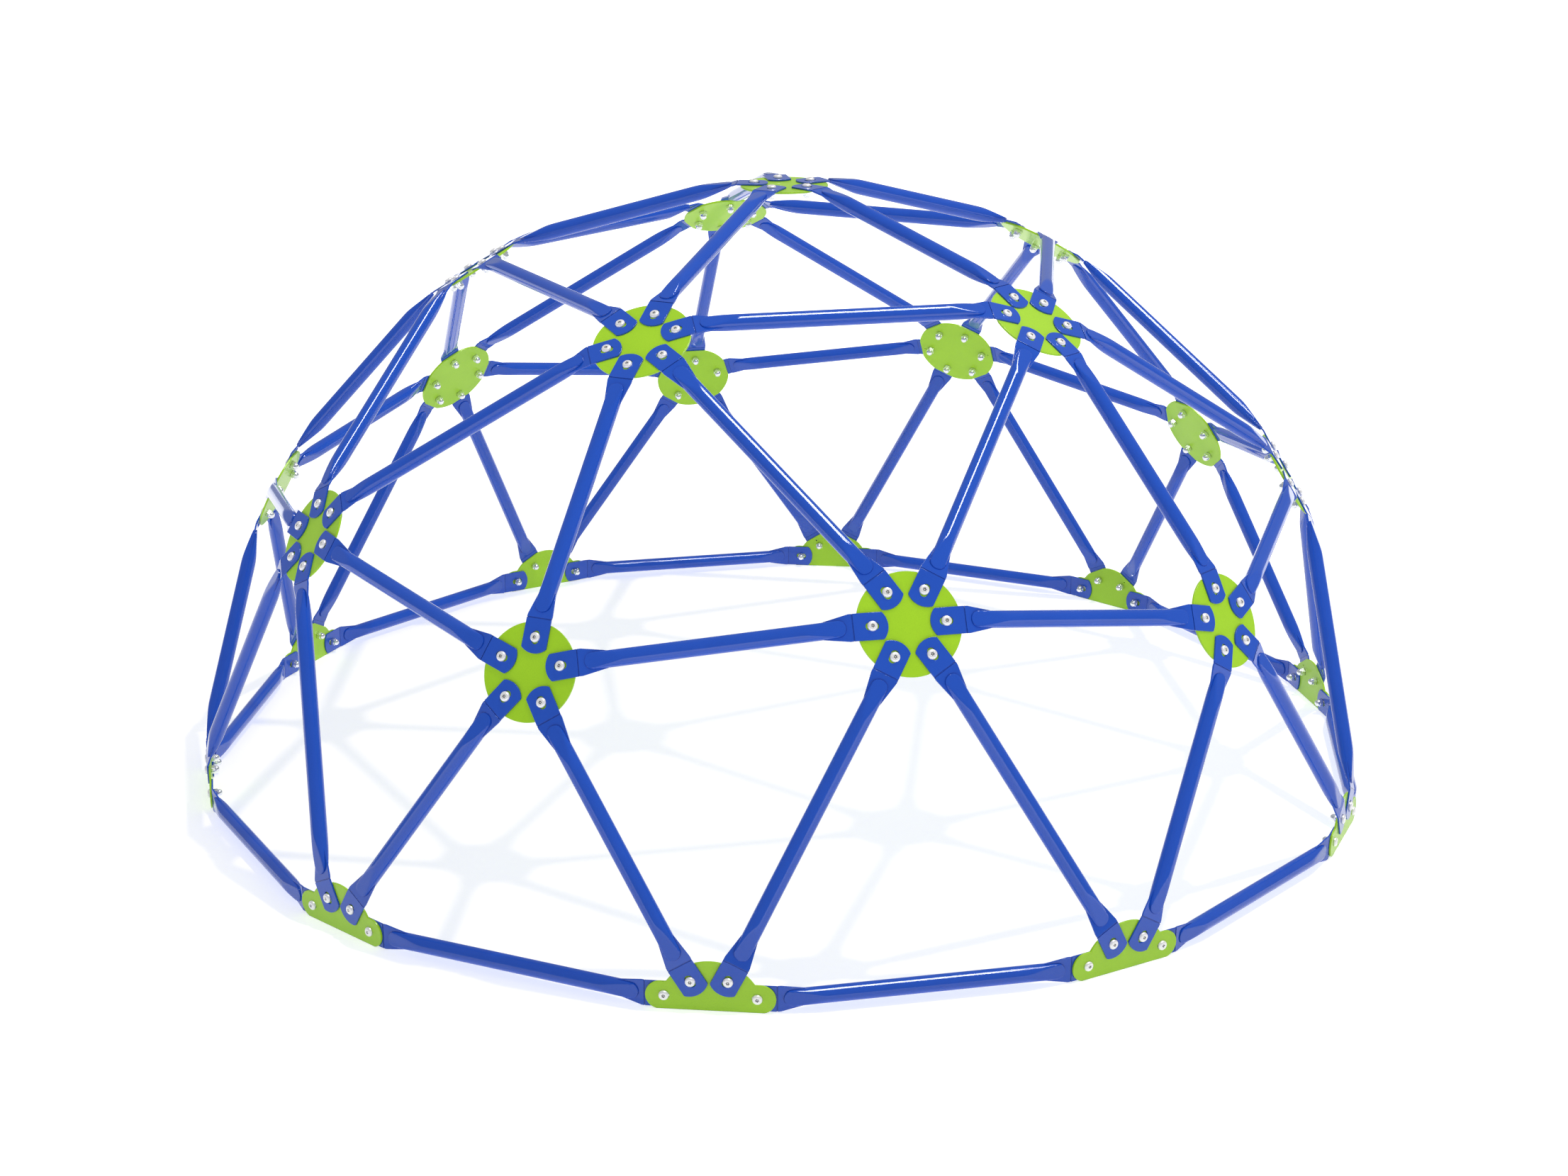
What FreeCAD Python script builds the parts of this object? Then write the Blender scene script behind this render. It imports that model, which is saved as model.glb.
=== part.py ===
import FreeCAD, Part
import math
import os

import Sketcher
from FreeCAD import Placement, Rotation, Vector

# Dome climber: a two-frequency geodesic half sphere of flattened-end tubes, bolted through
# flat hub plates. Millimetres, +Z up, the origin on the ground under the crown, -Y the front.

# Driving dimensions. The tab sphere is the sphere that the middle of each strut tab touches.
SIZES = {
    "tab_sphere_radius": 1509,
    "short_arc": 31.717474,
    "long_arc": 36,
    "tube_diameter": 38.1,
    "tube_wall": 2.1,
    "flat_thickness": 4.2,
    "flat_width": 60,
    "crease_to_bolt": 42,
    "bolt_to_tip": 35,
    "tip_arc_radius": 44,
    "tip_corner_radius": 4,
    "slot_length": 30,
    "slot_width": 17.4,
    "crease_groove_width": 1.8,
    "crease_groove_depth": 1.5,
    "taper_start": 8,
    "taper_end": 66,
    "web_end": 80,
    "bulge_start": 14,
    "bulge_start_height": 4.5,
    "bulge_full": 95,
    "bulge_end_radius": 21,
    "plate_thickness": 5,
    "plate_edge_radius": 0.8,
    "five_way_radius": 110,
    "five_way_bolt_circle": 75.5,
    "six_way_radius": 116,
    "six_way_bolt_circle": 81.5,
    "bolt_hole_diameter": 13,
    "index_hole_diameter": 4.5,
    "index_hole_circle": 100,
    "six_way_fan_angle": 58.282526,
    "base_bolt_offset": 101,
    "base_bolt_height": 32.5,
    "base_slot_offset": 99.5,
    "base_slot_length": 21,
    "base_slot_width": 17,
    "base_lobe_offset": 108.5,
    "base_lobe_height": 32,
    "base_lobe_radius": 33,
    "head_diameter": 22.5,
    "head_height": 6.5,
    "head_rim_height": 1.2,
    "head_top_diameter": 11,
    "head_dome_radius": 9.6,
    "shank_diameter": 12,
    "shank_length": 21,
    "recess_diameter": 7.4,
    "recess_pin_diameter": 2.8,
    "recess_lobe_diameter": 2.6,
    "recess_depth": 3.2,
    "nut_across_flats": 19,
    "nut_hex_height": 10,
    "nut_corner_chamfer": 1.4,
    "nut_dome_diameter": 18,
    "nut_height": 22,
    "nut_bore_diameter": 12.2,
    "nut_bore_depth": 14,
}

MARGIN = "5"  # how far a cutting outline runs past the material it cuts away
STEP = "1"  # how far one stops short of an arc's widest point, or runs past a corner
ALIGNED = 0.9999  # cosine of the angle between two directions that count as one
TOUCHING = 0.01  # heights closer than this count as one


# ---------------------------------------------------------------- document helpers

def fill_sheet(doc):
    """The driving dimensions, one alias to a row."""
    sheet = doc.addObject("Spreadsheet::Sheet", "Sizes")
    for row, (alias, value) in enumerate(SIZES.items(), start=1):
        sheet.set(f"A{row}", alias)
        sheet.set(f"B{row}", str(value))
        sheet.setAlias(f"B{row}", alias)
    doc.recompute()


def add_sketch(body, name, plane_role, turn=None):
    """A sketch on one of the body's origin planes, turned about an axis of that plane if asked."""
    plane = next(f for f in body.Origin.OriginFeatures if f.Role == plane_role)
    sketch = body.newObject("Sketcher::SketchObject", name)
    sketch.AttachmentSupport = (plane, [""])
    sketch.MapMode = "FlatFace"
    if turn:
        axis, angle = turn
        sketch.AttachmentOffset = Placement(Vector(), Rotation(axis, 1))
        sketch.setExpression("AttachmentOffset.Rotation.Angle", angle)
    return sketch


def evaluate(item, expression):
    """The number that an expression gives in a document object."""
    value = item.evalExpression(expression)
    return getattr(value, "Value", value)


def pin_one(sketch, element, point, kind, axis, expression):
    """Ties one coordinate of a sketch point to an expression."""
    if expression == "0":
        sketch.addConstraint(Sketcher.Constraint("PointOnObject", element, point, axis))
        return
    negative = expression.startswith("-")
    distance = expression[1:] if negative else expression
    ends = (element, point, -1, 1) if negative else (-1, 1, element, point)
    index = sketch.addConstraint(Sketcher.Constraint(kind, *ends, evaluate(sketch, distance)))
    sketch.setExpression(f"Constraints[{index}]", distance)


def pin(sketch, element, point, across, up):
    """Ties a sketch point to its two coordinates, each an expression."""
    pin_one(sketch, element, point, "DistanceX", -2, across)
    pin_one(sketch, element, point, "DistanceY", -1, up)


def outline(sketch, corners):
    """A closed outline. A corner is (across, up) or, where an arc leads on to the next corner,
    (across, up, radius, bulges): bulges is True for an arc that curves out of the outline."""
    first = sketch.GeometryCount
    count = len(corners)
    points = [Vector(evaluate(sketch, c[0]), evaluate(sketch, c[1]), 0) for c in corners]
    starts = []
    for number, corner in enumerate(corners):
        here, there = points[number], points[(number + 1) % count]
        if len(corner) == 2:
            sketch.addGeometry(Part.LineSegment(here, there), False)
            starts.append(1)
            continue
        radius = evaluate(sketch, corner[2])
        begin, end = (here, there) if corner[3] else (there, here)
        chord = end - begin
        left = Vector(-chord.y, chord.x, 0).normalize()
        centre = (begin + end) / 2 + left * math.sqrt(radius ** 2 - chord.Length ** 2 / 4)
        angles = [math.atan2(p.y - centre.y, p.x - centre.x) for p in (begin, end)]
        circle = Part.Circle(centre, Vector(0, 0, 1), radius)
        sketch.addGeometry(Part.ArcOfCircle(circle, *angles), False)
        index = sketch.addConstraint(Sketcher.Constraint("Radius", first + number, radius))
        sketch.setExpression(f"Constraints[{index}]", corner[2])
        starts.append(1 if corner[3] else 2)
    for number, corner in enumerate(corners):
        after = (number + 1) % count
        joint = (first + number, 3 - starts[number], first + after, starts[after])
        sketch.addConstraint(Sketcher.Constraint("Coincident", *joint))
        pin(sketch, first + number, starts[number], corner[0], corner[1])


def circle(sketch, across, up, diameter):
    element = sketch.addGeometry(Part.Circle(
        Vector(evaluate(sketch, across), evaluate(sketch, up), 0), Vector(0, 0, 1),
        evaluate(sketch, diameter) / 2), False)
    pin(sketch, element, 3, across, up)
    index = sketch.addConstraint(
        Sketcher.Constraint("Diameter", element, evaluate(sketch, diameter)))
    sketch.setExpression(f"Constraints[{index}]", diameter)


def slot(sketch, left, right, up, width):
    """A slot with round ends whose centres are at left and right."""
    radius = evaluate(sketch, width) / 2
    height = evaluate(sketch, up)
    ends = [Vector(evaluate(sketch, across), height, 0) for across in (left, right)]
    rise = Vector(0, radius, 0)
    normal = Vector(0, 0, 1)
    quarter = math.pi / 2
    first = sketch.GeometryCount
    left_arc, right_arc, top, bottom = range(first, first + 4)
    sketch.addGeometry([
        Part.ArcOfCircle(Part.Circle(ends[0], normal, radius), quarter, 3 * quarter),
        Part.ArcOfCircle(Part.Circle(ends[1], normal, radius), -quarter, quarter),
        Part.LineSegment(ends[0] + rise, ends[1] + rise),
        Part.LineSegment(ends[0] - rise, ends[1] - rise),
    ], False)
    sketch.addConstraint([
        Sketcher.Constraint("Tangent", left_arc, 1, top, 1),
        Sketcher.Constraint("Tangent", left_arc, 2, bottom, 1),
        Sketcher.Constraint("Tangent", right_arc, 2, top, 2),
        Sketcher.Constraint("Tangent", right_arc, 1, bottom, 2),
        Sketcher.Constraint("Equal", left_arc, right_arc),
    ])
    pin(sketch, left_arc, 3, left, up)
    index = sketch.addConstraint(Sketcher.Constraint("Radius", left_arc, radius))
    sketch.setExpression(f"Constraints[{index}]", f"({width}) / 2")
    pin_one(sketch, right_arc, 3, "DistanceX", -2, right)


def pad(body, sketch, thickness):
    """Pads a sketch by half the thickness to each side of its plane."""
    feature = body.newObject("PartDesign::Pad", f"{sketch.Name}Pad")
    feature.Profile = sketch
    feature.SideType = "Symmetric"
    feature.setExpression("Length", thickness)
    return feature


def pocket_through(body, sketch):
    """Cuts a sketch right through the body, to both sides of its plane."""
    feature = body.newObject("PartDesign::Pocket", f"{sketch.Name}Pocket")
    feature.Profile = sketch
    feature.SideType = "Symmetric"
    feature.Type = "ThroughAll"
    return feature


def pocket_down(body, sketch, depth):
    """Cuts a sketch into the body from the sketch's plane, against the plane's normal."""
    feature = body.newObject("PartDesign::Pocket", f"{sketch.Name}Pocket")
    feature.Profile = sketch
    feature.setExpression("Length", depth)
    return feature


def revolve(body, sketch, kind):
    """Turns a sketch on the XZ plane round the body's Z axis, to add or to cut."""
    feature = body.newObject(f"PartDesign::{kind}", f"{sketch.Name}{kind}")
    feature.Profile = sketch
    feature.ReferenceAxis = (sketch, ["V_Axis"])
    feature.Angle = 360
    return feature


def repeat_round(body, feature, sketch, angle, count):
    """Repeats a feature round the body's Z axis."""
    pattern = body.newObject("PartDesign::PolarPattern", f"{sketch.Name}Pattern")
    pattern.Originals = [feature]
    pattern.Axis = (sketch, ["N_Axis"])
    pattern.Angle = angle
    pattern.Occurrences = count
    body.Tip = pattern
    return pattern


def round_edges(body, base, names, radius):
    feature = body.newObject("PartDesign::Fillet", "RoundedEdges")
    feature.Base = (base, names)
    feature.setExpression("Radius", radius)
    return feature


# ---------------------------------------------------------------- strut designs

def strut_numbers(doc, name, arc, start_reach, end_reach, sphere):
    """What a strut's two hubs make of its size: the length between its creases, and the bend at
    each. Reach is the distance from a hub's centre line to a crease, along the tab."""
    advance = f"({sphere}) * sin({arc}) - ({end_reach}) * cos({arc}) - ({start_reach})"
    drop = f"({sphere}) * (1 - cos({arc})) - ({end_reach}) * sin({arc})"
    numbers = doc.addObject("App::VarSet", f"{name}Numbers")
    bend = f"atan2({drop}; {advance}) / 1 deg"
    for prop, formula in (("AxisLength", f"sqrt(({advance})^2 + ({drop})^2)"),
                          ("StartBend", bend), ("EndBend", f"{arc} - {bend}")):
        numbers.addProperty("App::PropertyFloat", prop)
        numbers.setExpression(prop, formula)
    doc.recompute()
    return numbers


def strut_end(doc, name, bend):
    """The flattened end of a tube: the tab that is bolted to a plate, the crease, and the flat
    web that runs into the round tube. The crease is at the origin, the web along +X."""
    body = doc.addObject("PartDesign::Body", name)
    half = "Sizes.flat_thickness / 2"
    tip = "(Sizes.crease_to_bolt + Sizes.bolt_to_tip)"
    groove = "Sizes.crease_groove_width / 2"
    side = add_sketch(body, f"{name}Side", "XZ_Plane")
    outline(side, [
        (f"-({tip} * cos({bend}) + {half} * sin({bend}))",
         f"-({tip} * sin({bend}) - {half} * cos({bend}))"),
        (f"-({tip} * cos({bend}) - {half} * sin({bend}))",
         f"-({tip} * sin({bend}) + {half} * cos({bend}))"),
        (f"{half} * tan({bend} / 2)", f"-{half}"),
        ("Sizes.web_end", f"-{half}"),
        ("Sizes.web_end", half),
        (groove, half),
        ("0", f"{half} - Sizes.crease_groove_depth"),
        (f"-({groove} * cos({bend}) + {half} * sin({bend}))",
         f"{half} * cos({bend}) - {groove} * sin({bend})"),
    ])
    pad(body, side, "Sizes.flat_width")
    add_tip_arc(doc, body, name, bend, tip)
    bolt_slot = add_sketch(body, f"{name}Slot", "XY_Plane", (Vector(0, 1, 0), f"-{bend}"))
    reach = "(Sizes.slot_length - Sizes.slot_width) / 2"
    slot(bolt_slot, f"-(Sizes.crease_to_bolt + {reach})", f"-(Sizes.crease_to_bolt - {reach})",
         "0", "Sizes.slot_width")
    pocket_through(body, bolt_slot)
    add_web_taper(body, name)
    return body


def add_tip_arc(doc, body, name, bend, tip):
    """The tab's tip: a shallow arc from side to side, with rounded corners."""
    sketch = add_sketch(body, f"{name}Tip", "XY_Plane", (Vector(0, 1, 0), f"-{bend}"))
    beyond = f"(Sizes.flat_width / 2 + {STEP})"
    arc_end = (f"-({tip} - Sizes.tip_arc_radius"
               f" + sqrt(Sizes.tip_arc_radius^2 - {beyond}^2))")
    outline(sketch, [
        (arc_end, f"-{beyond}", "Sizes.tip_arc_radius", False),
        (arc_end, beyond),
        (f"-({tip} + {MARGIN})", beyond),
        (f"-({tip} + {MARGIN})", f"-{beyond}"),
    ])
    cut = pocket_through(body, sketch)
    doc.recompute()
    angle = math.radians(evaluate(sketch, bend))
    normal = Vector(-math.sin(angle), 0, math.cos(angle))
    corners = [f"Edge{number}" for number, edge in enumerate(cut.Shape.Edges, start=1)
               if isinstance(edge.Curve, Part.Line)
               and abs(edge.tangentAt(edge.FirstParameter).dot(normal)) > ALIGNED]
    round_edges(body, cut, corners, "Sizes.tip_corner_radius")


def add_web_taper(body, name):
    """Narrows the web towards the round tube, the same on both sides."""
    slope = ("(Sizes.flat_width / 2 - Sizes.tube_diameter / 2)"
             " / (Sizes.taper_end - Sizes.taper_start)")
    end_width = f"Sizes.flat_width / 2 - {slope} * (Sizes.web_end - Sizes.taper_start)"
    for label, sign in (("Left", ""), ("Right", "-")):
        sketch = add_sketch(body, f"{name}Taper{label}", "XY_Plane")
        corners = [
            ("Sizes.taper_start", f"{sign}(Sizes.flat_width / 2)"),
            ("Sizes.web_end", f"{sign}({end_width})"),
            (f"Sizes.web_end + {MARGIN}", f"{sign}({end_width})"),
            (f"Sizes.web_end + {MARGIN}", f"{sign}(Sizes.flat_width / 2 + {MARGIN})"),
            ("Sizes.taper_start", f"{sign}(Sizes.flat_width / 2 + {MARGIN})"),
        ]
        outline(sketch, corners)
        pocket_through(body, sketch)


def ramped_bar(doc, name, length, inset):
    """A round bar along X whose two ends are rounded off in plan and ramped down to the flat
    webs. Inset is how far its surface lies inside the tube's own: 0 for the outside."""
    body = doc.addObject("PartDesign::Body", name)
    radius = f"(Sizes.tube_diameter / 2 - {inset})"
    end = f"({length} / 2 - Sizes.bulge_start - {inset})"
    section = add_sketch(body, f"{name}Section", "YZ_Plane")
    circle(section, "0", "0", f"2 * {radius}")
    pad(body, section, f"2 * {end}")
    foot = f"({length} / 2 - Sizes.bulge_start)"
    crest = f"({length} / 2 - Sizes.bulge_full)"
    low = f"(Sizes.bulge_start_height - {inset})"
    high = f"({radius} + {MARGIN})"
    for label, across, up in (("UpperStart", "-", ""), ("UpperEnd", "", ""),
                              ("LowerStart", "-", "-"), ("LowerEnd", "", "-")):
        ramp = add_sketch(body, f"{name}{label}", "XZ_Plane")
        outline(ramp, [
            (f"{across}{crest}", f"{up}{radius}"),
            (f"{across}{foot}", f"{up}{low}"),
            (f"{across}({foot} + {MARGIN})", f"{up}{low}"),
            (f"{across}({foot} + {MARGIN})", f"{up}{high}"),
            (f"{across}{crest}", f"{up}{high}"),
        ])
        pocket_through(body, ramp)
    bend_radius = f"(Sizes.bulge_end_radius - {inset})"
    half = f"({bend_radius} - {STEP})"
    arc_end = f"({end} - {bend_radius} + sqrt({bend_radius}^2 - {half}^2))"
    for label, across, up in (("PlanStart", "-", "-"), ("PlanEnd", "", "")):
        down = "" if up else "-"
        plan = add_sketch(body, f"{name}{label}", "XY_Plane")
        outline(plan, [
            (f"{across}{arc_end}", f"{up}{half}", bend_radius, False),
            (f"{across}{arc_end}", f"{down}{half}"),
            (f"{across}({end} + {MARGIN})", f"{down}{half}"),
            (f"{across}({end} + {MARGIN})", f"{up}{half}"),
        ])
        pocket_through(body, plan)
    return body


def strut(doc, name, arc, start_reach, end_reach, sphere):
    """One strut design, its axis along X through the middle of its length, +Z facing out."""
    numbers = strut_numbers(doc, name, arc, start_reach, end_reach, sphere)
    length = f"{numbers.Name}.AxisLength"
    tube = ramped_bar(doc, f"{name}Tube", length, "0")
    bore = ramped_bar(doc, f"{name}Bore", length, "Sizes.tube_wall")
    start = strut_end(doc, f"{name}Start", f"{numbers.Name}.StartBend")
    end = strut_end(doc, f"{name}End", f"{numbers.Name}.EndBend")
    start.setExpression("Placement.Base.x", f"-{length} / 2")
    end.Placement = Placement(Vector(), Rotation(Vector(0, 0, 1), 180))
    end.setExpression("Placement.Base.x", f"{length} / 2")
    outside = doc.addObject("Part::MultiFuse", f"{name}Outside")
    outside.Shapes = [tube, start, end]
    whole = doc.addObject("Part::Cut", name)
    whole.Base = outside
    whole.Tool = bore
    whole.Refine = True
    return whole


# ---------------------------------------------------------------- hub plates

def tab_seat(body, name, radius, bolt_circle, turn=None):
    """What a plate has under one tab: a straight edge as wide as the tab, and the bolt's hole."""
    sketch = add_sketch(body, f"{name}Seat", "XY_Plane", turn)
    half = "Sizes.flat_width / 2"
    flat = f"sqrt({radius}^2 - ({half})^2)"
    outline(sketch, [
        (flat, f"-({half} + {STEP})"),
        (f"{radius} + {MARGIN}", f"-({half} + {STEP})"),
        (f"{radius} + {MARGIN}", f"{half} + {STEP}"),
        (flat, f"{half} + {STEP}"),
    ])
    circle(sketch, bolt_circle, "0", "Sizes.bolt_hole_diameter")
    return sketch, pocket_through(body, sketch)


def round_plate(doc, name, radius, bolt_circle, ways, index_holes):
    """A round hub plate, its middle plane at z = 0, with a seat for each tab."""
    body = doc.addObject("PartDesign::Body", name)
    disc = add_sketch(body, f"{name}Disc", "XY_Plane")
    circle(disc, "0", "0", f"2 * {radius}")
    pad(body, disc, "Sizes.plate_thickness")
    sketch, seat = tab_seat(body, name, radius, bolt_circle)
    repeat_round(body, seat, sketch, 360, ways)
    if index_holes:
        holes = add_sketch(body, f"{name}IndexHoles", "XY_Plane")
        circle(holes, "Sizes.index_hole_circle", "0", "Sizes.index_hole_diameter")
        circle(holes, "-Sizes.index_hole_circle", "0", "Sizes.index_hole_diameter")
        body.Tip = pocket_through(body, holes)
    soften_plate(doc, body)
    return body


def soften_plate(doc, body):
    """Rounds the plate's outer edges, on both faces."""
    doc.recompute()
    shape = body.Tip.Shape
    half = shape.BoundBox.ZMax
    rims = []
    for face in shape.Faces:
        if abs(abs(face.CenterOfMass.z) - half) < TOUCHING:
            rims += face.OuterWire.Edges
    names = [f"Edge{number}" for number, edge in enumerate(shape.Edges, start=1)
             if any(edge.isSame(rim) for rim in rims)]
    round_edges(body, body.Tip, names, "Sizes.plate_edge_radius")


def base_plate(doc, name):
    """A plate that stands on the ground: half a round plate over a rounded bar, cut off flat at
    the bottom. Its short leg goes up on the +X side, its long leg on the -X side; +Y is up."""
    body = doc.addObject("PartDesign::Body", name)
    disc = add_sketch(body, f"{name}Disc", "XY_Plane")
    circle(disc, "0", "0", "2 * Sizes.six_way_radius")
    pad(body, disc, "Sizes.plate_thickness")
    bar = add_sketch(body, f"{name}Bar", "XY_Plane")
    slot(bar, "-Sizes.base_lobe_offset", "Sizes.base_lobe_offset", "Sizes.base_lobe_height",
         "2 * Sizes.base_lobe_radius")
    pad(body, bar, "Sizes.plate_thickness")
    ground = add_sketch(body, f"{name}Ground", "XY_Plane")
    reach = "(Sizes.base_lobe_offset + Sizes.base_lobe_radius)"
    outline(ground, [
        (f"-({reach} + {MARGIN})", "0"),
        (f"-({reach} + {MARGIN})", f"-(Sizes.six_way_radius + {MARGIN})"),
        (f"{reach} + {MARGIN}", f"-(Sizes.six_way_radius + {MARGIN})"),
        (f"{reach} + {MARGIN}", "0"),
    ])
    pocket_through(body, ground)
    upright = Vector(0, 0, 1)
    sketch, seat = tab_seat(body, name, "Sizes.six_way_radius", "Sizes.six_way_bolt_circle",
                            (upright, "Sizes.six_way_fan_angle"))
    repeat_round(body, seat, sketch, 360 / 6, 2)
    index = add_sketch(body, f"{name}IndexHole", "XY_Plane",
                       (upright, "Sizes.six_way_fan_angle"))
    circle(index, "Sizes.index_hole_circle", "0", "Sizes.index_hole_diameter")
    pocket_through(body, index)
    half = "(Sizes.base_slot_length - Sizes.base_slot_width) / 2"
    near = f"(Sizes.base_slot_offset - {half})"
    far = f"(Sizes.base_slot_offset + {half})"
    for label, left, right in (("Short", near, far), ("Long", f"-{far}", f"-{near}")):
        foot = add_sketch(body, f"{name}{label}Slot", "XY_Plane")
        slot(foot, left, right, "Sizes.base_bolt_height", "Sizes.base_slot_width")
        body.Tip = pocket_through(body, foot)
    soften_plate(doc, body)
    return body


# ---------------------------------------------------------------- fasteners

def button_bolt(doc, name):
    """A button-head bolt with a six-lobed recess round a pin. The head bears at z = 0."""
    body = doc.addObject("PartDesign::Body", name)
    profile = add_sketch(body, f"{name}Profile", "XZ_Plane")
    outline(profile, [
        ("0", "-Sizes.shank_length"),
        ("Sizes.shank_diameter / 2", "-Sizes.shank_length"),
        ("Sizes.shank_diameter / 2", "0"),
        ("Sizes.head_diameter / 2", "0"),
        ("Sizes.head_diameter / 2", "Sizes.head_rim_height", "Sizes.head_dome_radius", True),
        ("Sizes.head_top_diameter / 2", "Sizes.head_height"),
        ("0", "Sizes.head_height"),
    ])
    revolve(body, profile, "Revolution")
    ring = add_sketch(body, f"{name}Recess", "XY_Plane")
    ring.setExpression("AttachmentOffset.Base.z", "Sizes.head_height")
    circle(ring, "0", "0", "Sizes.recess_diameter")
    circle(ring, "0", "0", "Sizes.recess_pin_diameter")
    pocket_down(body, ring, "Sizes.recess_depth")
    lobe = add_sketch(body, f"{name}Lobe", "XY_Plane")
    lobe.setExpression("AttachmentOffset.Base.z", "Sizes.head_height")
    circle(lobe, "Sizes.recess_diameter / 2", "0", "Sizes.recess_lobe_diameter")
    repeat_round(body, pocket_down(body, lobe, "Sizes.recess_depth"), lobe, 360, 6)
    return body


def cap_nut(doc, name):
    """A domed cap nut that bears at z = 0, dome up."""
    body = doc.addObject("PartDesign::Body", name)
    hexagon = add_sketch(body, f"{name}Hexagon", "XY_Plane")
    flat = "Sizes.nut_across_flats / 2"
    outline(hexagon, [
        (flat, f"-({flat} / sqrt(3))"),
        (flat, f"{flat} / sqrt(3)"),
        ("0", f"{flat} * 2 / sqrt(3)"),
        (f"-{flat}", f"{flat} / sqrt(3)"),
        (f"-{flat}", f"-({flat} / sqrt(3))"),
        ("0", f"-({flat} * 2 / sqrt(3))"),
    ])
    base = body.newObject("PartDesign::Pad", f"{name}Base")
    base.Profile = hexagon
    base.setExpression("Length", "Sizes.nut_hex_height")
    corner = add_sketch(body, f"{name}Corner", "XZ_Plane")
    reach = f"({flat} * 2 / sqrt(3))"
    above = f"Sizes.nut_hex_height + {STEP}"
    outline(corner, [
        (f"{reach} + {STEP}",
         f"Sizes.nut_hex_height - (Sizes.nut_corner_chamfer + {STEP}) / sqrt(3)"),
        (f"{reach} + {STEP}", above),
        (f"{reach} - Sizes.nut_corner_chamfer", above),
        (f"{reach} - Sizes.nut_corner_chamfer", "Sizes.nut_hex_height"),
    ])
    revolve(body, corner, "Groove")
    dome = add_sketch(body, f"{name}Dome", "XZ_Plane")
    radius = "Sizes.nut_dome_diameter / 2"
    spring = "(Sizes.nut_height - Sizes.nut_dome_diameter / 2)"
    outline(dome, [
        ("0", "Sizes.nut_hex_height / 2"),
        (radius, "Sizes.nut_hex_height / 2"),
        (radius, spring, radius, True),
        ("0", "Sizes.nut_height"),
    ])
    revolve(body, dome, "Revolution")
    bore = add_sketch(body, f"{name}Bore", "XZ_Plane")
    outline(bore, [
        ("0", "0"),
        ("Sizes.nut_bore_diameter / 2", "0"),
        ("Sizes.nut_bore_diameter / 2", "Sizes.nut_bore_depth"),
        ("0", "Sizes.nut_bore_depth"),
    ])
    revolve(body, bore, "Groove")
    return body


# ---------------------------------------------------------------- where everything goes

def direction(polar, azimuth):
    """The unit vector at an angle from +Z and an angle round Z from +X, both in degrees."""
    return Rotation(Vector(0, 0, 1), azimuth).multVec(
        Rotation(Vector(0, 1, 0), polar).multVec(Vector(0, 0, 1)))


def hub_directions():
    """Directions of the 26 hubs from the centre: crown, five upper, ten middle, ten base.
    Odd-numbered middle hubs are five-way, even-numbered ones six-way."""
    vertex_polar = math.degrees(math.atan(2))
    sector = 360 / 5
    front = -90
    first = front - sector / 2
    crown = Vector(0, 0, 1)
    upper = [direction(vertex_polar / 2, first + sector * k) for k in range(5)]
    corners = [direction(vertex_polar, first + sector * k) for k in range(5)]
    middle = []
    for k in range(5):
        middle += [corners[k], (corners[k] + corners[(k + 1) % 5]).normalize()]
    level = 90
    base = [direction(level, first + sector / 4 + sector / 2 * k) for k in range(10)]
    return crown, upper, middle, base


def tangent(hub, towards):
    """The direction along the sphere from one hub towards another."""
    along = towards - hub * towards.dot(hub)
    return along.normalize()


def framed(origin, across, outward):
    """A placement whose X axis is across and whose Z axis is outward."""
    return Placement(origin, Rotation(across, outward.cross(across), outward, "ZXY"))


def strut_placement(start, end, radius, start_reach, end_reach, height=0):
    """A strut from the start hub to the end hub; the radius is that of its tabs' middles."""
    first = start * radius + tangent(start, end) * start_reach
    last = end * radius + tangent(end, start) * end_reach
    along = (last - first).normalize()
    side = start.cross(end).normalize()
    middle = (first + last) / 2 + Vector(0, 0, height)
    return Placement(middle, Rotation(along, side, along.cross(side), "XZY"))


def plate_frame(hub, towards):
    """A plate across its hub's direction, with its X axis towards a neighbouring hub."""
    return framed(hub * plate_radius(), tangent(hub, towards), hub)


def plate_radius():
    """Distance from the centre to the middle of every plate's thickness."""
    under_tabs = (SIZES["flat_thickness"] + SIZES["plate_thickness"]) / 2
    return SIZES["tab_sphere_radius"] - under_tabs


def spots_at(radius, angles):
    return [Rotation(Vector(0, 0, 1), angle).multVec(Vector(radius, 0, 0)) for angle in angles]


def ring_spots(radius, ways):
    """Spots evenly round a plate's middle, the first along +X."""
    return spots_at(radius, [360 / ways * k for k in range(ways)])


def fastener_places(frame, spots, tabs_outside):
    """Places for a bolt and a nut at each spot of a plate. The frame's Z axis points out. The
    tabs lie on the plate's outer face, except along the ground, where they lie on the inner."""
    half = SIZES["plate_thickness"] / 2
    tab = SIZES["flat_thickness"]
    over, under = (half + tab, half) if tabs_outside else (half, half + tab)
    upright, turned = Rotation(), Rotation(Vector(1, 0, 0), 180)
    bolts = [frame * Placement(spot + Vector(0, 0, over), upright) for spot in spots]
    nuts = [frame * Placement(spot - Vector(0, 0, under), turned) for spot in spots]
    return list(zip(bolts, nuts))


# ---------------------------------------------------------------- the whole dome

def add_node(doc, name, design, placements):
    """A node that holds a copy of a design at each placement."""
    copies = []
    for number, placement in enumerate(placements, start=1):
        copy = doc.addObject("App::Link", f"{name}_{number}")
        copy.LinkedObject = design
        copy.Placement = placement
        copies.append(copy)
    if len(copies) == 1:
        node = copies[0]
    else:
        node = doc.addObject("Part::Compound", f"{name}_group")
        node.Links = copies
    node.Label = name
    return node


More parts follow.
